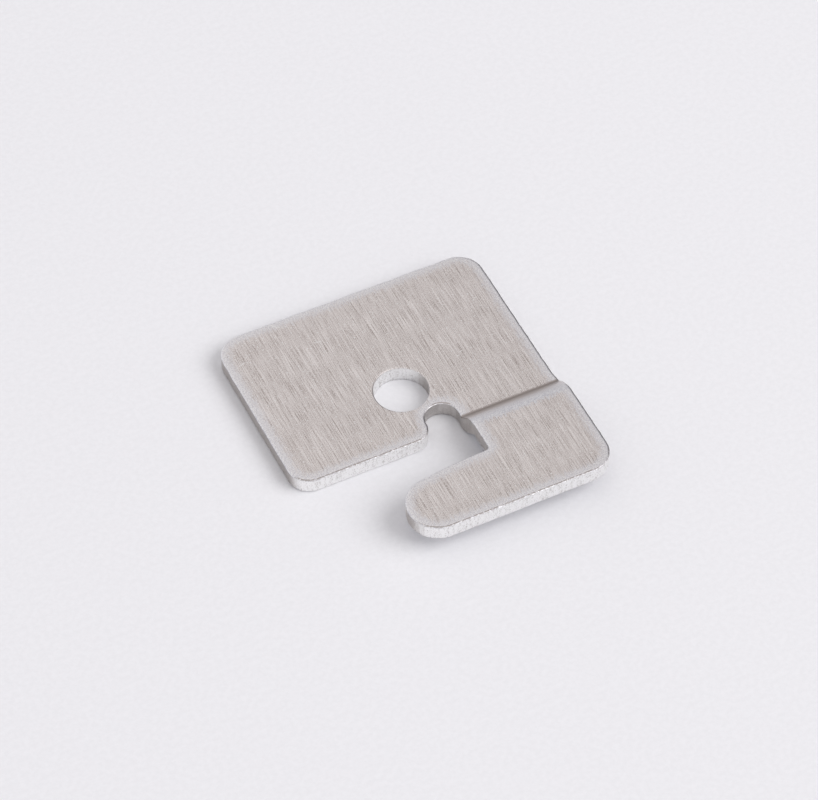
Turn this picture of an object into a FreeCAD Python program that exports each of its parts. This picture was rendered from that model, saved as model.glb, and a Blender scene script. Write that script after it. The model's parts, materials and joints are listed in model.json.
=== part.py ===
import FreeCAD, Part
import math
import os

# A hook plate blanked from aluminium sheet and pressed once, so that its hooked front stands one
# sheet thickness above its flat back. Lengths are millimetres.
#
# The origin is on the axis of the fixing hole, at the face that the plate rests on. X runs to the
# right along the back edge, Y runs back and Z runs up. Places in the plane of the sheet are given
# as a drawing gives them: how far from the left edge, and how far forward from the back edge.

sheet_thickness = 2.0

# Blank: the flat behind the notch, with its outer corners and the one at the front on the left
plate_width = 32.0
plate_depth = 22.35
corner_radius = 3.0
tongue_corner_radius = 2.5

# Fixing hole
hole_diameter = 6.2
hole_from_left = 16.0
hole_from_front = 7.35
hole_rim_round = 0.15

# Round relief at the inner end of the notch, the web of sheet between it and the hole, and the
# corner where it meets the flat's front edge
relief_diameter = 3.9
relief_right_of_hole = 2.3
relief_web = 0.91
neck_radius = 1.8

# Notch and hook
notch_width = 5.65
hook_width = 7.65
hook_root_radius = 0.3
hook_tip_from_left = 8.5
hook_tip_radius = 3.5

# Step pressed across the sheet beside the notch
step_height = 2.0
step_ahead_of_relief = 0.8
step_angle = 45.0
crease_radius = 0.25
shoulder_radius = 3.0

# Edges of the blank: nearly sharp where the punch left them, rolled over where it went in
top_edge_round = 0.12
bottom_edge_round = 0.3

# Places along the plate that follow from these, from its left and back edges
hole_from_back = plate_depth - hole_from_front
relief_from_hole = hole_diameter / 2 + relief_web + relief_diameter / 2
relief_from_left = hole_from_left + relief_right_of_hole
relief_from_back = hole_from_back + math.sqrt(relief_from_hole ** 2 - relief_right_of_hole ** 2)
notch_wall_from_left = relief_from_left + relief_diameter / 2
step_from_back = relief_from_back + step_ahead_of_relief
hook_root_from_back = plate_depth + notch_width
overall_depth = hook_root_from_back + hook_width

# How far the strip that the blank is cut from, and what cuts it, reach past the plate
spare = 3.0

# What counts as nothing between two places or directions
hair = 1e-6


def plan(across, forward):
    """A point on the resting face, from the left edge and from the back edge."""
    return FreeCAD.Vector(across - hole_from_left, hole_from_back - forward, 0)


def section(forward, height):
    """A point on the left end of the strip, from the back edge and from the resting face."""
    return plan(-spare, forward) + FreeCAD.Vector(0, 0, height)


def belt(wheels, place):
    """A closed wire drawn like a belt round wheels, each (x, y, radius).

    The belt runs anticlockwise. It passes outside a wheel of positive radius and bends the other
    way round one of negative radius, and a wheel with no radius is a sharp corner.
    """
    spans = []
    for (x1, y1, r1), (x2, y2, r2) in zip(wheels, wheels[1:] + wheels[:1]):
        gap = math.hypot(x2 - x1, y2 - y1)
        square = gap ** 2 - (r1 - r2) ** 2
        free = math.sqrt(square) if square > hair else 0.0
        heading = math.atan2(y2 - y1, x2 - x1) + math.atan2(r1 - r2, free)
        spans.append((free, heading))

    def touch(wheel, heading):
        x, y, radius = wheel
        return place(x + radius * math.sin(heading), y - radius * math.cos(heading))

    edges = []
    for number, wheel in enumerate(wheels):
        arriving = spans[number - 1][1]
        free, leaving = spans[number]
        if wheel[2]:
            turn = (leaving - arriving) % (2 * math.pi)
            if wheel[2] < 0:
                turn -= 2 * math.pi
            ends = [touch(wheel, arriving + turn * share) for share in (0, 0.5, 1)]
            edges.append(Part.Arc(*ends).toShape())
        following = wheels[(number + 1) % len(wheels)]
        start, end = touch(wheel, leaving), touch(following, leaving)
        if free:
            edges.append(Part.LineSegment(start, end).toShape())
    return Part.Wire(edges)


def through(outline):
    """An outline on the resting face drawn into a block that passes both faces of the strip."""
    tall = sheet_thickness + step_height + 2 * spare
    block = Part.Face(outline).extrude(FreeCAD.Vector(0, 0, tall))
    block.translate(FreeCAD.Vector(0, 0, -spare))
    return block


def blank():
    """The outline of the blank."""
    relief_radius = relief_diameter / 2
    neck_forward = plate_depth - neck_radius
    neck_gap = relief_radius + neck_radius
    neck_across = relief_from_left - math.sqrt(neck_gap ** 2 - (neck_forward - relief_from_back) ** 2)
    right = plate_width - corner_radius
    return belt([
        (corner_radius, corner_radius, corner_radius),
        (right, corner_radius, corner_radius),
        (right, overall_depth - corner_radius, corner_radius),
        (hook_tip_from_left + hook_tip_radius, overall_depth - hook_tip_radius, hook_tip_radius),
        (notch_wall_from_left - hook_root_radius, hook_root_from_back - hook_root_radius,
         -hook_root_radius),
        (relief_from_left, relief_from_back, -relief_radius),
        (neck_across, neck_forward, neck_radius),
        (tongue_corner_radius, plate_depth - tongue_corner_radius, tongue_corner_radius),
    ], plan)


def stepped_strip():
    """The strip with the step across its whole width, cut as a profile and drawn to the right."""
    angle = math.radians(step_angle)
    rise = 1 - math.cos(angle)
    radii = crease_radius + shoulder_radius
    ramp_height = step_height - radii * rise
    top_run = radii * math.sin(angle) + ramp_height / math.tan(angle)

    # The ramp keeps the sheet's thickness, which sets the underside's corner against the crease.
    drop = sheet_thickness - step_height + 2 * crease_radius * rise
    offset = 2 * crease_radius * math.sin(angle)
    offset += (sheet_thickness - drop * math.cos(angle)) / math.sin(angle)

    arm_top = sheet_thickness + step_height
    corner = step_from_back + offset
    front = overall_depth + spare
    profile = belt([
        (-spare, 0, 0),
        (corner - top_run, shoulder_radius, shoulder_radius),
        (corner, step_height - crease_radius, -crease_radius),
        (front, step_height, 0),
        (front, arm_top, 0),
        (step_from_back + top_run, arm_top - shoulder_radius, shoulder_radius),
        (step_from_back, sheet_thickness + crease_radius, -crease_radius),
        (-spare, sheet_thickness, 0),
    ], section)
    return Part.Face(profile).extrude(FreeCAD.Vector(plate_width + 2 * spare, 0, 0))


def pressed_strip():
    """The strip as it leaves the press: flat from the left to the relief, and stepped beyond it."""
    flat_front = plate_depth + notch_width / 2
    corners = [
        plan(-spare, flat_front),
        plan(relief_from_left, flat_front),
        plan(relief_from_left, -spare),
        plan(-spare, -spare),
    ]
    left = Part.makePolygon(corners + corners[:1])
    flat = Part.Face(left).extrude(FreeCAD.Vector(0, 0, sheet_thickness))
    return stepped_strip().cut(through(left)).fuse(flat)


def rim(shape, side):
    """Edges between the walls and the sheet's upper face (side 1) or lower face (side -1)."""
    def slope(face):
        u1, u2, v1, v2 = face.ParameterRange
        return face.normalAt((u1 + u2) / 2, (v1 + v2) / 2).z

    walls = [face for face in shape.Faces if abs(slope(face)) < hair]
    faces = [face for face in shape.Faces if slope(face) * side > hair]
    return [edge for edge in shape.Edges
            if any(edge.isSame(other) for wall in walls for other in wall.Edges)
            and any(edge.isSame(other) for face in faces for other in face.Edges)]


def around_hole(edge):
    """Whether an edge lies on the wall of the fixing hole."""
    return all(abs(math.hypot(end.X, end.Y) - hole_diameter / 2) < hair for end in edge.Vertexes)


def hook_plate():
    """The finished plate: the pressed strip cut to its outline and punched, with its edges broken."""
    hole = Part.Wire(Part.makeCircle(hole_diameter / 2))
    plate = pressed_strip().common(through(blank())).cut(through(hole)).removeSplitter()
    mouth = [edge for edge in rim(plate, 1) if around_hole(edge)]
    plate = plate.makeFillet(hole_rim_round, mouth)
    punched = [edge for edge in rim(plate, 1) if not around_hole(edge)]
    plate = plate.makeFillet(top_edge_round, punched)
    rolled = [edge for edge in rim(plate, -1) if not around_hole(edge)]
    return plate.makeFillet(bottom_edge_round, rolled)


os.makedirs("parts", exist_ok=True)
plate = hook_plate()
plate.exportStep("parts/hook_plate.step")
print("hook_plate: valid", plate.isValid(), "solids", len(plate.Solids), "mm3", round(plate.Volume, 1))
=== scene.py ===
import json
import math

import bmesh
import bpy
from mathutils import Matrix, Vector, kdtree, noise


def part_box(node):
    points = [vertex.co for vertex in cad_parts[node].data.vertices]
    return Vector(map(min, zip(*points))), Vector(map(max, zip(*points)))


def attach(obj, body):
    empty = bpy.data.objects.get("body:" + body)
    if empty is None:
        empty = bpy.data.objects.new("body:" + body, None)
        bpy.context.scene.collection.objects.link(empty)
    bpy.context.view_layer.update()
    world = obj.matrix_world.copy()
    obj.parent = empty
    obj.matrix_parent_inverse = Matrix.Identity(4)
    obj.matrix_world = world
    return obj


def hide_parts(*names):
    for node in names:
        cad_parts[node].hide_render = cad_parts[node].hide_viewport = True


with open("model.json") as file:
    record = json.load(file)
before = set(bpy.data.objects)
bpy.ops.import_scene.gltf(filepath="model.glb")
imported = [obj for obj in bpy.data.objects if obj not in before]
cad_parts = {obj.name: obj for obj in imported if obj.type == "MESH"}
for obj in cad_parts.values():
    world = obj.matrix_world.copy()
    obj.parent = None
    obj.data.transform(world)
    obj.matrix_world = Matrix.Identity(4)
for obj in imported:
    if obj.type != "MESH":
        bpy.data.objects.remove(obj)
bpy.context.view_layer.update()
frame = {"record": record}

mm = 0.001  # the frame is in metres, and the sizes below are millimetres
mounts = {mount["name"]: mount for mount in frame["record"]["mounts"]}
boxLow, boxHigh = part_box("hook_plate")
up = Vector((0, 0, 1))


def wire(tree, kind, values, **settings):
    # adds a node, and gives its inputs plain values or the outputs of other nodes
    node = tree.nodes.new("ShaderNode" + kind)
    for key, value in settings.items():
        setattr(node, key, value)
    for key, value in values.items():
        if isinstance(value, bpy.types.NodeSocket):
            tree.links.new(value, node.inputs[key])
        else:
            node.inputs[key].default_value = value
    return node


def blankMaterial(name):
    # a new material, with the place on the piece in millimetres for its patterns
    material = bpy.data.materials.new(name)
    material.use_nodes = True
    tree = material.node_tree
    spot = wire(tree, "TexCoord", {}).outputs["Object"]
    spot = wire(tree, "VectorMath", {0: spot, "Scale": 1 / mm}, operation="SCALE").outputs["Vector"]
    return material, tree, tree.nodes["Principled BSDF"], spot


def carried(tree, name):
    # a value that the mesh carries at its vertices
    return wire(tree, "Attribute", {}, attribute_name=name).outputs["Fac"]


def grain(tree, spot, stretch, detail=2.0, roughness=0.5):
    # noise with so many grains to the millimetre along each axis
    spot = wire(tree, "VectorMath", {0: spot, 1: stretch}, operation="MULTIPLY").outputs["Vector"]
    values = {"Vector": spot, "Scale": 1.0, "Detail": detail, "Roughness": roughness}
    return wire(tree, "TexNoise", values).outputs["Fac"]


def ramp(tree, value, start, end, low=0.0, high=1.0):
    values = {"Value": value, "From Min": start, "From Max": end, "To Min": low, "To Max": high}
    return wire(tree, "MapRange", values, interpolation_type="SMOOTHSTEP").outputs["Result"]


def reckon(tree, operation, first, second):
    return wire(tree, "Math", {0: first, 1: second}, operation=operation).outputs["Value"]


def times(tree, value, *others):
    for other in others:
        value = reckon(tree, "MULTIPLY", value, other)
    return value


def greatest(tree, values):
    most = values[0]
    for value in values[1:]:
        most = reckon(tree, "MAXIMUM", most, value)
    return most


def ragged(tree, value, texture, reach):
    # sways a value by a noise, so that what it bounds has a ragged edge
    return reckon(tree, "ADD", value, times(tree, reckon(tree, "SUBTRACT", texture, 0.5), reach))


def paint(tree, share, under, over):
    under, over = ((*colour, 1) if isinstance(colour, tuple) else colour for colour in (under, over))
    values = {"Factor": share, "A": under, "B": over}
    return wire(tree, "Mix", values, data_type="RGBA").outputs["Result"]


def relief(tree, shader, heights, depth):
    # depth is how far, in millimetres, the surface goes from 0 to 1
    shape = wire(tree, "Bump", {"Height": heights, "Distance": depth * mm, "Strength": 1.0})
    tree.links.new(shape.outputs["Normal"], shader.inputs["Normal"])


def metal(tree, shader, colour, roughness):
    shader.inputs["Metallic"].default_value = 1.0
    tree.links.new(colour, shader.inputs["Base Color"])
    tree.links.new(roughness, shader.inputs["Roughness"])


cameraPlace = {
    "azimuth": -26.115,
    "elevation": 50.675,
    "roll": 0.039,
    "distance": 421.74,
    "aim": (-0.300, -2.528, 3.122),
    "lens": 170.06,
    "sensor": 36.0,
}


def makeCamera(place):
    azimuth, elevation, roll = (math.radians(place[key]) for key in ("azimuth", "elevation", "roll"))
    flat = math.cos(elevation)
    back = Vector((flat * math.sin(azimuth), -flat * math.cos(azimuth), math.sin(elevation)))
    right = Vector((math.cos(azimuth), math.sin(azimuth), 0))
    turn = Matrix((right, back.cross(right), back)).transposed() @ Matrix.Rotation(roll, 3, "Z")
    data = bpy.data.cameras.new("camera")
    data.lens = place["lens"]
    data.sensor_width = place["sensor"]
    data.clip_start = 0.01
    data.clip_end = 20
    camera = bpy.data.objects.new("camera", data)
    spot = (Vector(place["aim"]) + back * place["distance"]) * mm
    camera.matrix_world = Matrix.Translation(spot) @ turn.to_4x4()
    bpy.context.collection.objects.link(camera)
    bpy.context.scene.camera = camera
    print("camera", round(place["distance"]), "mm away")


studio = {
    "floorColour": (0.835, 0.83, 0.855),
    "floorFibre": (0.98, 1.02),  # how dark and how light the paper's fibres are
    "floorSize": 9000.0,
    "skyColour": (0.80, 0.80, 0.82),
    "skyStrength": 0.875,
    # parts of the room that are lighter or darker, which the metal shows
    "skyPatches": [
        {"azimuth": 64, "elevation": 60, "reach": 55, "colour": (0.88, 0.845, 0.835)},
        {"azimuth": 32, "elevation": 20, "reach": 40, "colour": (0.08, 0.085, 0.11)},
        {"azimuth": 228, "elevation": 18, "reach": 45, "colour": (0.80, 0.79, 0.80)},
        {"azimuth": 285, "elevation": 15, "reach": 42, "colour": (0.90, 0.90, 0.925)},
    ],
    "keyEnergy": 36.0,
    "keySize": 2000.0,
    "keySeen": 0.35,  # share of the key that metal sees, so that it doesn't glare from low down
    "keyPlace": (1392.0, -1088.0, 1768.0),
}


def wayTo(azimuth, elevation):
    azimuth, elevation = math.radians(azimuth), math.radians(elevation)
    flat = math.cos(elevation)
    return Vector((flat * math.cos(azimuth), flat * math.sin(azimuth), math.sin(elevation)))


def makeFloor(look):
    bm = bmesh.new()
    bmesh.ops.create_grid(bm, x_segments=1, y_segments=1, size=look["floorSize"] / 2 * mm)
    mesh = bpy.data.meshes.new("floor")
    bm.to_mesh(mesh)
    bm.free()
    floor = bpy.data.objects.new("floor", mesh)
    bpy.context.collection.objects.link(floor)
    material, tree, shader, spot = blankMaterial("paper")
    fibre = ramp(tree, grain(tree, spot, (1.7, 1.7, 1.0), detail=3.0, roughness=0.7), 0.3, 0.7)
    dark, light = (tuple(share * part for part in look["floorColour"]) for share in look["floorFibre"])
    tree.links.new(paint(tree, fibre, dark, light), shader.inputs["Base Color"])
    shader.inputs["Roughness"].default_value = 0.9
    shader.inputs["Specular IOR Level"].default_value = 0.2
    mesh.materials.append(material)


def makeSky(look):
    world = bpy.data.worlds.new("studio")
    bpy.context.scene.world = world
    world.use_nodes = True
    tree = world.node_tree
    toward = wire(tree, "TexCoord", {}).outputs["Generated"]
    colour = look["skyColour"]
    for patch in look["skyPatches"]:
        middle = wayTo(patch["azimuth"], patch["elevation"])
        facing = wire(tree, "VectorMath", {0: toward, 1: middle}, operation="DOT_PRODUCT")
        share = ramp(tree, facing.outputs["Value"], math.cos(math.radians(patch["reach"])), 1.0)
        colour = paint(tree, share, colour, patch["colour"])
    background = tree.nodes["Background"]
    tree.links.new(colour, background.inputs["Color"])
    background.inputs["Strength"].default_value = look["skyStrength"]


def makeKey(look):
    # two lamps in one place, and metal sees only the first
    for share, seen in ((look["keySeen"], True), (1 - look["keySeen"], False)):
        data = bpy.data.lights.new("key", "AREA")
        data.shape = "DISK"
        data.size = look["keySize"] * mm
        data.energy = look["keyEnergy"] * share
        lamp = bpy.data.objects.new("key", data)
        lamp.location = Vector(look["keyPlace"]) * mm
        lamp.rotation_euler = lamp.location.to_track_quat("Z", "Y").to_euler()
        lamp.visible_glossy = seen
        bpy.context.collection.objects.link(lamp)


def makeStudio(look):
    makeFloor(look)
    makeSky(look)
    makeKey(look)
    bpy.context.scene.view_settings.view_transform = "Standard"
    print("studio", len(look["skyPatches"]), "patches in the sky")


plate = {
    "thickness": mounts["head_seat"]["pos_m"][2] / mm,
    "holeRadius": mounts["fixing_hole"]["dims"]["r_mm"],
    "cornerRadius": 3.0,
    "tongueRadius": 2.5,  # the flat's front corner on the left
    "flatFront": -7.35,
    "neckRadius": 1.8,  # where the flat's front edge turns into the relief
    "reliefRadius": 1.95,
    "reliefAt": (2.3, -5.498),
    "hookRoot": -13.0,
    "rootRadius": 0.3,
    "tipLeft": -7.5,
    "tipRadius": 3.5,
    "stepAhead": 0.8,  # from the middle of the relief forward to the crease
    "stepAngle": 45.0,
    "creaseRadius": 0.25,
    "shoulderRadius": 3.0,
    "topRound": 0.10,  # how deep the belt wore the upper rim
    "crown": 0.28,  # and how far in
    "bottomRound": 0.3,
    "holeRound": 0.15,
    "hookBow": 0.12,  # the hook's back edge, bowed out by the press
    "bowAt": -0.4,
    "bowReach": 4.6,
    "bowShort": 0.35,  # and how far short of the notch's wall it stops
    "creaseBulge": 0.16,  # the right edge, bulged beside the crease
    "bulgeAhead": 1.1,
    "bulgeReach": 1.7,
    "notchBulge": 0.096,  # the notch's wall, bulged beside the crease
    "notchAhead": 1.0,
    "notchReach": 0.9,
    "nearWall": 0.75,  # how near the notch's wall a place is still on it
    "nearRoot": (-0.8, 0.1),  # and, in depth, the same for the hook's back edge
    "burr": 0.06,
    "burrBelow": 0.09,  # how far under the face its lip stands, and how tall it is
    "burrTall": 0.08,
    "wander": 0.035,  # how far a blanked edge strays from its line
    "holeWander": 0.0105,
    "grooveFacing": (-0.4, -0.92, 0),  # the way the edges face that get a painted shade line inside the burr and painted shade breaking up the burr's glint
    "tornBeyond": 0.2,  # how far past the relief's wall the metal is torn
    "band": 0.4,  # width of the ring of faces inside the upper rim
    "bandBelow": 0.45,  # and of the one under the sheet
    "mouthBand": 0.22,  # and of the two round the hole, above and below
    "mouthBelow": 0.3,
    "station": 0.1,  # gap between vertices along an edge
    "thin": 6,  # one in so many of them goes on into the face
    "grid": 0.9,  # longest edge inside the face
    "splits": 7,  # and how many times the face may be split to reach it
}


def notchWall(size):
    return size["reliefAt"][0] + size["reliefRadius"]


def outlineWheels(size):
    left, front, right, back = (value / mm for value in (boxLow.x, boxLow.y, boxHigh.x, boxHigh.y))
    corner, tongue, neck, tip, root = (size[key] for key in (
        "cornerRadius", "tongueRadius", "neckRadius", "tipRadius", "rootRadius"))
    reliefX, reliefY = size["reliefAt"]
    relief = size["reliefRadius"]
    neckY = size["flatFront"] + neck
    neckX = reliefX - math.sqrt((relief + neck) ** 2 - (neckY - reliefY) ** 2)
    return [
        (left + corner, back - corner, corner),
        (left + tongue, size["flatFront"] + tongue, tongue),
        (neckX, neckY, neck),
        (reliefX, reliefY, -relief),
        (notchWall(size) - root, size["hookRoot"] + root, -root),
        (size["tipLeft"] + tip, front + tip, tip),
        (right - corner, front + corner, corner),
        (right - corner, back - corner, corner),
    ]


def spinOn(bm, pen, **path):
    # draws a line of edges on from a vertex, round a centre or straight ahead, and returns its end
    drawn = bmesh.ops.spin(bm, geom=[pen], axis=up, **path)
    return drawn["geom_last"][0]


def drawBelt(bm, wheels, gap):
    # the outline runs like a belt round wheels, and bends the other way round one of negative radius
    spans = []
    for (x1, y1, r1), (x2, y2, r2) in zip(wheels, wheels[1:] + wheels[:1]):
        square = (x2 - x1) ** 2 + (y2 - y1) ** 2 - (r1 - r2) ** 2
        free = math.sqrt(square) if square > 1e-6 else 0.0  # wheels that touch leave no straight run
        spans.append((free, math.atan2(y2 - y1, x2 - x1) + math.atan2(r1 - r2, free)))
    x, y, radius = wheels[0]
    arriving = spans[-1][1]
    pen = bm.verts.new((x + radius * math.sin(arriving), y - radius * math.cos(arriving), 0))
    for (x, y, radius), (free, leaving) in zip(wheels, spans):
        turn = (leaving - arriving) % (2 * math.pi) - (2 * math.pi if radius < 0 else 0)
        steps = max(6, round(abs(turn * radius) / gap))
        pen = spinOn(bm, pen, cent=(x, y, 0), angle=turn, steps=steps)
        if free:
            steps = max(1, round(free / gap))
            ahead = Vector((math.cos(leaving), math.sin(leaving), 0)) * free / steps
            pen = spinOn(bm, pen, dvec=ahead, angle=0, steps=steps)
        arriving = leaving
    bmesh.ops.remove_doubles(bm, verts=bm.verts[:], dist=gap / 50)
    return bm.verts[:]


def swell(value, centre, reach):
    # a smooth rise and fall, 1 at the centre and 0 at the reach either side
    share = min(1, abs(value - centre) / reach)
    return (1 - share * share) ** 2


def byNotchWall(x, size):
    return abs(x - notchWall(size)) < size["nearWall"]


def strained(point, size):
    # how far the press pushed the outline outward at a point
    x, y = point.x, point.y
    reliefY = size["reliefAt"][1]
    ahead, behind = (size["hookRoot"] + reach for reach in size["nearRoot"])
    push = 0
    if ahead < y < behind and x < notchWall(size) - size["bowShort"]:
        push += size["hookBow"] * swell(x, size["bowAt"], size["bowReach"])
    if x > boxHigh.x / mm - 1:
        push += size["creaseBulge"] * swell(y, reliefY - size["bulgeAhead"], size["bulgeReach"])
    if byNotchWall(x, size):
        push += size["notchBulge"] * swell(y, reliefY - size["notchAhead"], size["notchReach"])
    return push


def layPath(bm, path, facing, size, wander):
    # remembers where each vertex of a closed path stands, and which way is out of the metal there
    foot, out = bm.verts.layers.float_vector["foot"], bm.verts.layers.float_vector["out"]
    order = bm.verts.layers.int["order"]
    for before, here, after in zip(path[-1:] + path[:-1], path, path[1:] + path[:1]):
        way = (after.co - before.co).normalized()
        here[out] = Vector((way.y, -way.x, 0)) * facing
    for number, here in enumerate(path):
        here[order] = number
        place = here.co.copy()
        loose = noise.noise(place * 0.9) + 0.5 * noise.noise(place * 3.1)
        if byNotchWall(place.x, size) and size["hookRoot"] < place.y < size["reliefAt"][1]:
            loose += 2.0 * noise.noise(place * 2.3)  # the wall beside the crease is torn
        here[foot] = place + here[out] * (strained(place, size) + loose * wander)


def crownRings(reach, drop, size):
    # the upper rim, which the belt wore down from the face in a curve that steepens to the wall
    shares = (1.0, 0.76, 0.54, 0.36, 0.22, 0.1, 0.0)
    worn = [(reach * share, size["thickness"] - drop * (1 - share) ** 3) for share in shares]
    return worn + [(0.0, size["thickness"] - 1.4 * drop)]


def cornerRings(radius, side, size):
    # inset and height of the rings round a corner of the sheet, from its face to its wall
    face = size["thickness"] if side > 0 else 0.0
    turns = [math.radians(turn) for turn in (0, 22.5, 45, 67.5, 90)]
    return [(radius * (1 - math.sin(turn)), face - side * radius * (1 - math.cos(turn)))
            for turn in turns]


def burrAt(place, out, height, size):
    # the lip that the punch raised and the belt dragged over, in broken lengths along the rim
    torn = noise.noise(place * 1.3) * 0.6 + noise.noise(place * 4.3) * 0.9
    torn += noise.noise(place * 9.0) * 0.6
    lip = size["burr"] * max(0.0, torn + 0.2) * (0.3 + 0.7 * max(0.0, -out.y))
    return lip * swell(height, size["thickness"] - size["burrBelow"], size["burrTall"])


def drawRings(bm, path, rings, size):
    # carries a closed path from the upper face over the rim, down the wall and under the sheet, and
    # notes for the finish how far each vertex is from the edge and down the wall, how far it faces the
    # front, and its torn value: painted shade on walls facing left, and torn metal round the relief
    foot, out = bm.verts.layers.float_vector["foot"], bm.verts.layers.float_vector["out"]
    rim, depth = bm.verts.layers.float["rim"], bm.verts.layers.float["depth"]
    front, torn = bm.verts.layers.float["front"], bm.verts.layers.float["torn"]
    reliefAt, tornReach = Vector(size["reliefAt"]), size["reliefRadius"] + size["tornBeyond"]
    facing = Vector(size["grooveFacing"])
    verts = set(path)
    edges = [edge for edge in bm.edges if edge.verts[0] in verts and edge.verts[1] in verts]
    first = edges
    for number, (inset, height) in enumerate(rings):
        if number:
            grown = bmesh.ops.extrude_edge_only(bm, edges=edges)["geom"]
            verts = {item for item in grown if isinstance(item, bmesh.types.BMVert)}
            edges = [item for item in grown if isinstance(item, bmesh.types.BMEdge)
                     and item.verts[0] in verts and item.verts[1] in verts]
        for vert in verts:
            lip = burrAt(vert[foot], vert[out], height, size)
            vert.co = vert[foot] - vert[out] * (inset - lip) + up * (height + 0.5 * lip)
            vert[rim] = inset
            vert[depth] = 1 - height / size["thickness"]
            vert[front] = max(0.0, facing.dot(vert[out]))
            # walls facing left get painted shade through this value
            vert[torn] = max(0.0, -vert[out].x) ** 6
            if (vert[foot].xy - reliefAt).length < tornReach:
                vert[torn] = max(vert[torn], 0.8)
    return first, edges


def facesIn(bm, slot):
    return [face for face in bm.faces if face.material_index == slot]


def fillSheet(bm, edges, slot, size):
    # closes a face of the sheet inside its rings, and splits it until no triangle is wide
    order = bm.verts.layers.int["order"]
    border = {vert for edge in edges for vert in edge.verts}
    spare = [vert for vert in border if vert[order] % size["thin"]]
    kept = border - set(spare)
    bmesh.ops.dissolve_verts(bm, verts=spare)
    edges = [edge for edge in bm.edges
             if edge.is_boundary and edge.verts[0] in kept and edge.verts[1] in kept]
    for item in bmesh.ops.triangle_fill(bm, use_beauty=True, edges=edges)["geom"]:
        if isinstance(item, bmesh.types.BMFace):
            item.material_index = slot
    border = set(edges)
    for level in range(size["splits"]):
        faces = facesIn(bm, slot)
        inner = {edge for face in faces for edge in face.edges} - border
        bmesh.ops.beautify_fill(bm, faces=faces, edges=list(inner))
        inner = {edge for face in facesIn(bm, slot) for edge in face.edges} - border
        wide = [edge for edge in inner if edge.calc_length() > size["grid"]]
        if not wide:
            break
        bmesh.ops.subdivide_edges(bm, edges=wide, cuts=1)
        bmesh.ops.triangulate(bm, faces=facesIn(bm, slot))


def measureRim(bm, feet):
    # tells each vertex of the two faces how far it stands from the edge of the blank
    rim, depth = bm.verts.layers.float["rim"], bm.verts.layers.float["depth"]
    tree = kdtree.KDTree(len(feet))
    for number, place in enumerate(feet):
        tree.insert(place, number)
    tree.balance()
    for vert in bm.verts:
        if vert[rim] or not 0 < vert[depth] < 1:
            vert[rim] = tree.find((vert.co.x, vert.co.y, 0))[2]


def sortFaces(bm, size):
    # the belt's face takes in the worn rim, and the mill face the flat ring under the sheet
    depth = bm.verts.layers.float["depth"]
    worn = 1.05 * size["topRound"] / size["thickness"]
    for face in bm.faces:
        if all(vert[depth] < worn for vert in face.verts):
            face.material_index = 0
        if face.material_index == 1 and all(abs(vert.co.z) < 1e-4 for vert in face.verts):
            face.material_index = 2


def stepEnds(size):
    # how long the step is, and where it starts above and below the sheet, going forward
    angle = math.radians(size["stepAngle"])
    crease, shoulder, tall = size["creaseRadius"], size["shoulderRadius"], size["thickness"]
    lean = 1 - math.cos(angle)
    run = (crease + shoulder) * math.sin(angle)
    run += (tall - (crease + shoulder) * lean) / math.tan(angle)
    offset = 2 * crease * math.sin(angle)
    offset += (tall - 2 * crease * lean * math.cos(angle)) / math.sin(angle)
    above = size["reliefAt"][1] - size["stepAhead"]
    return run, above, above - offset + run


def riseAt(ahead, run, first, last, size):
    # height of the step's profile, which bends up by one radius and levels off by the other
    angle = math.radians(size["stepAngle"])
    if ahead <= 0:
        return 0.0
    if ahead < first * math.sin(angle):
        return first - math.sqrt(first ** 2 - ahead ** 2)
    if ahead > run:
        return size["thickness"]
    if ahead > run - last * math.sin(angle):
        return size["thickness"] - last + math.sqrt(last ** 2 - (run - ahead) ** 2)
    return first * (1 - math.cos(angle)) + (ahead - first * math.sin(angle)) * math.tan(angle)


def pressStep(bm, size):
    # lifts the hook by the step, with a line of vertices at each turn of its profile
    run, above, below = stepEnds(size)
    crease, shoulder = size["creaseRadius"], size["shoulderRadius"]
    angle = math.radians(size["stepAngle"])
    lines = []
    for start, first, last in ((above, crease, shoulder), (below, shoulder, crease)):
        for radius, side in ((first, 1), (last, -1)):
            turns = 5 if radius == crease else 10
            reach = [radius * math.sin(angle * turn / turns) for turn in range(turns + 1)]
            lines += [start - span if side > 0 else start - run + span for span in reach]
    for line in sorted(lines):
        bmesh.ops.bisect_plane(bm, geom=bm.verts[:] + bm.edges[:] + bm.faces[:], dist=0.0005,
                               plane_co=(0, line, 0), plane_no=(0, 1, 0))
    for vert in bm.verts:
        x, y, z = vert.co
        if x < size["reliefAt"][0] and y > size["flatFront"] - 1:
            continue  # the flat on the left goes on past the step
        top = riseAt(above - y, run, crease, shoulder, size)
        bottom = riseAt(below - y, run, shoulder, crease, size)
        share = z / size["thickness"]
        vert.co.z = z + bottom * (1 - share) + top * share


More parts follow.
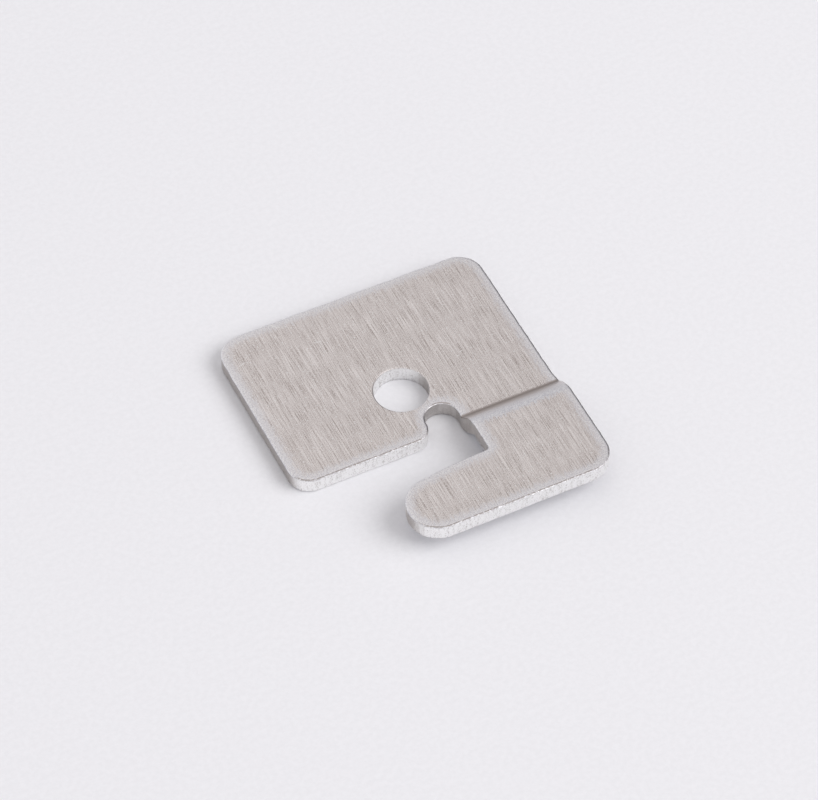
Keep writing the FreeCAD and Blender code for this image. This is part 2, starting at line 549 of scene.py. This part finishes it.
def makePlate(size):
    bm = bmesh.new()
    for name in ("foot", "out"):
        bm.verts.layers.float_vector.new(name)
    for name in ("rim", "depth", "front", "torn"):
        bm.verts.layers.float.new(name)
    bm.verts.layers.int.new("order")
    foot = bm.verts.layers.float_vector["foot"]

    tall = size["thickness"]
    upper = crownRings(size["crown"], size["topRound"], size)
    lower = cornerRings(size["bottomRound"], -1, size)
    wall = [(0.0, tall * share) for share in (0.78, 0.6, 0.42, 0.26)]
    bands = [(size["band"], tall)] + upper + wall + lower[::-1] + [(size["bandBelow"], 0.0)]
    outline = drawBelt(bm, outlineWheels(size), size["station"])
    layPath(bm, outline, 1, size, size["wander"])
    starts, ends = drawRings(bm, outline, bands, size)

    mouth = cornerRings(size["holeRound"], 1, size)
    wall = [(0.0, tall * share) for share in (0.7, 0.4, 0.1)]
    bands = [(size["band"], tall), (size["mouthBand"], tall)] + mouth + wall
    bands += [(0.0, 0.0), (size["mouthBelow"], 0.0)]
    steps = round(2 * math.pi * size["holeRadius"] / size["station"])
    ring = bmesh.ops.create_circle(bm, segments=steps, radius=size["holeRadius"])["verts"]
    layPath(bm, ring, -1, size, size["holeWander"])
    more, below = drawRings(bm, ring, bands, size)

    feet = [vert[foot].copy() for vert in outline]
    for face in bm.faces:
        face.material_index = 1
    fillSheet(bm, starts + more, 0, size)
    fillSheet(bm, ends + below, 2, size)
    measureRim(bm, feet)
    sortFaces(bm, size)
    pressStep(bm, size)
    for name in ("foot", "out"):
        bm.verts.layers.float_vector.remove(bm.verts.layers.float_vector[name])
    bm.verts.layers.int.remove(bm.verts.layers.int["order"])
    bmesh.ops.recalc_face_normals(bm, faces=bm.faces[:])
    for face in bm.faces:
        face.smooth = True
    bmesh.ops.scale(bm, vec=(mm, mm, mm), verts=bm.verts[:])
    mesh = bpy.data.meshes.new("hookPlate")
    bm.to_mesh(mesh)
    bm.free()
    piece = bpy.data.objects.new("hookPlate", mesh)
    bpy.context.collection.objects.link(piece)
    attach(piece, "root")
    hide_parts("hook_plate")
    print("plate", len(mesh.vertices), "vertices", len(mesh.polygons), "faces")
    return piece


finish = {
    "brushLight": (1.0, 0.96, 0.945),
    "brushDark": (0.42, 0.36, 0.335),
    "brushRough": 0.45,
    "brushDepth": 0.012,
    "land": (0.985, 0.985, 1.0),  # beside the edges, where the belt hardly reaches
    "landWidth": 0.95,
    "landRagged": 0.55,
    "landRough": 0.31,
    "pressed": (0.72, 0.715, 0.76),  # the duller grains of the land
    # the step's tones: unbrushed metal with painted shade deepening towards the crease, and a painted
    # shadow line in it
    "slope": (0.66, 0.63, 0.63),
    "crease": (0.54, 0.50, 0.485),
    "creaseLine": (0.42, 0.375, 0.355),
    # how far ahead of the crease each tone of the step begins and is full, the tones being painted
    # shade that deepens towards the crease
    "slopeFringe": (3.5, 2.9),
    "slopeStart": (-0.12, 0.0),
    "slopeDull": (2.9, 1.5),
    "slopeDark": (1.75, 1.05),
    "lineFront": (1.1, 0.3),
    "lineBack": (-0.3, 0.04),
    # how far from the edge the painted shade line inside the burr begins, is full, fades and ends, and
    # where the painted shade that breaks up the burr's glint fades
    "groove": (0.06, 0.11, 0.17, 0.24),
    "chips": (0.08, 0.18),
    "wallLight": (0.97, 0.965, 0.96),
    "wallDark": (0.64, 0.62, 0.605),
    # torn metal round the relief, and painted shade on walls facing left
    "wallTorn": (0.43, 0.395, 0.37),
    "wallDepth": 0.025,
    "millLight": (0.92, 0.92, 0.93),
    "millDark": (0.80, 0.79, 0.80),
    "millDepth": 0.006,
    "scratch": (1.0, 1.0, 1.0),
    # where each scratch starts and ends, and its width
    "scratches": [
        ((-14.6, 10.8), (-13.9, 11.05), 0.07),
        ((-9.0, 14.75), (-8.6, 14.2), 0.08),
        ((-8.6, 14.2), (-8.2, 14.0), 0.08),
        ((-5.8, 10.25), (-4.8, 10.15), 0.05),
        ((-5.5, 10.6), (-5.1, 9.8), 0.04),
    ],
    # where each pit is, and its radius
    "pits": [((9.3, -2.1), 0.11), ((6.2, -3.2), 0.09), ((-11.0, 3.4), 0.07)],
}


def scratchAt(tree, flat, start, end, width):
    # 1 along a line between two places on the face, fading to 0 at its width
    start, end = Vector((*start, 0)), Vector((*end, 0))
    line = end - start
    away = wire(tree, "VectorMath", {0: flat, 1: start}, operation="SUBTRACT").outputs["Vector"]
    values = {0: away, 1: line / line.length_squared}
    share = wire(tree, "VectorMath", values, operation="DOT_PRODUCT").outputs["Value"]
    share = wire(tree, "Clamp", {"Value": share}).outputs["Result"]
    near = wire(tree, "VectorMath", {0: line, "Scale": share}, operation="SCALE").outputs["Vector"]
    gap = wire(tree, "VectorMath", {0: away, 1: near}, operation="DISTANCE").outputs["Value"]
    return ramp(tree, gap, width, 0.25 * width)


def pitAt(tree, flat, place, radius):
    gap = wire(tree, "VectorMath", {0: flat, 1: (*place, 0)}, operation="DISTANCE").outputs["Value"]
    return ramp(tree, gap, radius, 0.4 * radius)


def brushLines(tree, flat, look):
    # lines of two widths, dust between them and a faint cloud, and how high the lines stand
    light, dark = look["brushLight"], look["brushDark"]
    middle = tuple(0.68 * bright + 0.32 * dull for bright, dull in zip(light, dark))
    thin = grain(tree, flat, (14.0, 0.28, 1.0), detail=1.0, roughness=0.8)
    wide = grain(tree, flat, (10.0, 0.16, 1.0), detail=1.0, roughness=0.8)
    dust = grain(tree, flat, (11.0, 8.0, 1.0), detail=1.0, roughness=0.8)
    cloud = grain(tree, flat, (0.35, 0.2, 1.0))
    colour = paint(tree, ramp(tree, thin, 0.52, 0.33), middle, dark)
    colour = paint(tree, ramp(tree, wide, 0.50, 0.64), colour, light)
    colour = paint(tree, ramp(tree, dust, 0.52, 0.68), colour, light)
    colour = paint(tree, ramp(tree, dust, 0.48, 0.32, 0.0, 0.6), colour, dark)
    colour = paint(tree, ramp(tree, cloud, 0.35, 0.65, 0.0, 0.12), colour, light)
    height = reckon(tree, "ADD", times(tree, thin, 0.6), times(tree, wide, 0.4))
    return colour, height


def aheadOf(tree, back, crease, span):
    return ramp(tree, back, crease - span[0], crease - span[1])


def pressedSlopeShade(tree, spot, colour, plain, tears, mottle, size, look):
    # down the step the metal is pressed and dull, and its colour carries painted shade: darker to the
    # right and towards the crease, darkest in it, with a painted shadow line along the crease
    parts = wire(tree, "SeparateXYZ", {"Vector": spot})
    across, back = parts.outputs["X"], parts.outputs["Y"]
    crease = size["reliefAt"][1] - size["stepAhead"]
    inside = ramp(tree, across, size["reliefAt"][0], size["reliefAt"][0] + 0.2)
    fringe = aheadOf(tree, ragged(tree, back, tears, 2.6), crease, look["slopeFringe"])
    slope = times(tree, fringe, aheadOf(tree, back, crease, look["slopeStart"]), inside)
    # painted shade, darker to the right
    rightward = ramp(tree, across, 2.0, 14.0, 0.55, 1.0)
    dull = times(tree, aheadOf(tree, back, crease, look["slopeDull"]), rightward)
    pressed = paint(tree, dull, plain, look["slope"])
    pressed = paint(tree, aheadOf(tree, back, crease, look["slopeDark"]), pressed, look["crease"])
    colour = paint(tree, slope, colour, pressed)
    # a painted shadow line along the crease
    sway = ragged(tree, back, mottle, 0.25)
    line = times(tree, aheadOf(tree, sway, crease, look["lineFront"]),
                 aheadOf(tree, sway, crease, look["lineBack"]), inside)
    return paint(tree, line, colour, look["creaseLine"]), slope


def shadedRim(tree, spot, colour, rim, mottle, look):
    # a broken line of painted shade runs inside the burr along the front edges, here and there
    front = carried(tree, "front")
    begin, full, fading, end = look["groove"]
    breaks = grain(tree, spot, (2.2, 2.2, 2.2), detail=3.0, roughness=0.7)
    groove = times(tree, ramp(tree, rim, begin, full), ramp(tree, rim, end, fading),
                   ramp(tree, ragged(tree, front, breaks, 1.0), 0.80, 0.92))
    colour = paint(tree, times(tree, groove, 0.9), colour, look["creaseLine"])

    # the burr there is painted darker in patches, painted shade that breaks up its glint
    fading, end = look["chips"]
    chips = grain(tree, spot, (2.8, 2.8, 2.8), detail=3.0, roughness=0.75)
    glintBreaks = times(tree, ramp(tree, rim, end, fading), ramp(tree, chips, 0.43, 0.53),
                    ramp(tree, front, 0.5, 0.85))
    colour = paint(tree, times(tree, glintBreaks, 0.45), colour, look["creaseLine"])

    # the rim facing right is painted darker in mottled patches: a painted dark reflection
    normal = wire(tree, "TexCoord", {}).outputs["Normal"]
    lean = wire(tree, "SeparateXYZ", {"Vector": normal}).outputs["X"]
    worn = times(tree, ramp(tree, lean, 0.10, 0.34), ramp(tree, mottle, 0.32, 0.55, 0.5, 1.0))
    return paint(tree, times(tree, worn, 0.8), colour, look["crease"]), glintBreaks


def marked(tree, flat, colour, slope, look):
    # scratches, white specks on the flats, and pits
    marks = [scratchAt(tree, flat, *scratch) for scratch in look["scratches"]]
    speck = ramp(tree, grain(tree, flat, (6.0, 4.6, 1.0), detail=0.0), 0.70, 0.78)
    marks.append(times(tree, speck, ramp(tree, slope, 0.5, 0.0)))
    colour = paint(tree, greatest(tree, marks), colour, look["scratch"])
    pits = greatest(tree, [pitAt(tree, flat, *pit) for pit in look["pits"]])
    return paint(tree, pits, colour, look["wallDark"]), pits


def brushedFace(size, look):
    material, tree, shader, spot = blankMaterial("brushedFace")
    flat = wire(tree, "VectorMath", {0: spot, 1: (1, 1, 0)}, operation="MULTIPLY").outputs["Vector"]
    rim = carried(tree, "rim")
    mottle = grain(tree, spot, (7.0, 7.0, 7.0), detail=2.0, roughness=0.8)
    tears = grain(tree, flat, (5.0, 1.2, 1.0), detail=3.0, roughness=0.7)
    colour, height = brushLines(tree, flat, look)

    # the belt hardly reaches the edges of the blank
    width, fade = look["landWidth"], look["landRagged"]
    land = ramp(tree, ragged(tree, rim, tears, 2.4), width + fade, width - fade)
    plain = paint(tree, ramp(tree, mottle, 0.42, 0.58), look["pressed"], look["land"])
    colour = paint(tree, times(tree, land, 0.95), colour, plain)

    colour, slope = pressedSlopeShade(tree, spot, colour, plain, tears, mottle, size, look)
    colour, glintBreaks = shadedRim(tree, spot, colour, rim, mottle, look)
    colour, pits = marked(tree, flat, colour, slope, look)

    smoother = times(tree, land, look["brushRough"] - look["landRough"])
    rough = reckon(tree, "SUBTRACT", look["brushRough"], smoother)
    # rougher where the burr's glint is broken by painted shade
    metal(tree, shader, colour, reckon(tree, "ADD", rough, times(tree, glintBreaks, 0.15)))

    unbrushed = greatest(tree, [land, slope])
    lines = times(tree, height, ramp(tree, unbrushed, 1.0, 0.0, 0.15, 1.0))
    grit = times(tree, mottle, ramp(tree, rim, 0.22, 0.05, 0.15, 1.6))
    heights = reckon(tree, "SUBTRACT", reckon(tree, "ADD", lines, grit), times(tree, pits, 1.5))
    relief(tree, shader, heights, look["brushDepth"])
    return material


def shearedEdge(look):
    # the punch left the wall smooth at the top, and broke it off below in drawn grains
    material, tree, shader, spot = blankMaterial("shearedEdge")
    depth = carried(tree, "depth")
    drag = grain(tree, spot, (3.5, 3.5, 0.7), detail=2.0, roughness=0.6)
    crumb = grain(tree, spot, (7.0, 7.0, 6.0), detail=2.0, roughness=0.7)
    broken = ramp(tree, ragged(tree, depth, drag, 0.9), 0.30, 0.42)
    tone = reckon(tree, "ADD", times(tree, drag, 0.35), times(tree, crumb, 0.65))
    colour = paint(tree, ramp(tree, tone, 0.34, 0.52), look["wallDark"], look["wallLight"])
    # painted shade darkens the walls facing left, and the metal round the relief is torn and darker
    patches = ragged(tree, carried(tree, "torn"), crumb, 1.2)
    colour = paint(tree, ramp(tree, patches, 0.1, 1.1, 0.0, 0.85), colour, look["wallTorn"])
    dull = ramp(tree, depth, 0.13, 0.08, 0.0, 0.2)
    rough = ramp(tree, broken, 0.0, 1.0, 0.28, 0.42)
    metal(tree, shader, colour, reckon(tree, "ADD", dull, rough))
    relief(tree, shader, reckon(tree, "ADD", drag, times(tree, crumb, broken)), look["wallDepth"])
    return material


def millFace(look):
    # the underside, as the mill rolled it
    material, tree, shader, spot = blankMaterial("millFace")
    rolled = grain(tree, spot, (0.25, 3.5, 1.0), detail=3.0, roughness=0.6)
    cloud = grain(tree, spot, (0.3, 0.3, 0.3), detail=3.0)
    tone = reckon(tree, "ADD", times(tree, rolled, 0.6), times(tree, cloud, 0.4))
    colour = paint(tree, ramp(tree, tone, 0.35, 0.65), look["millDark"], look["millLight"])
    metal(tree, shader, colour, ramp(tree, cloud, 0.3, 0.7, 0.30, 0.42))
    relief(tree, shader, rolled, look["millDepth"])
    return material


makeCamera(cameraPlace)
makeStudio(studio)
piece = makePlate(plate)
for material in (brushedFace(plate, finish), shearedEdge(finish), millFace(finish)):
    piece.data.materials.append(material)
    print("finish", material.name, len(material.node_tree.nodes), "nodes")
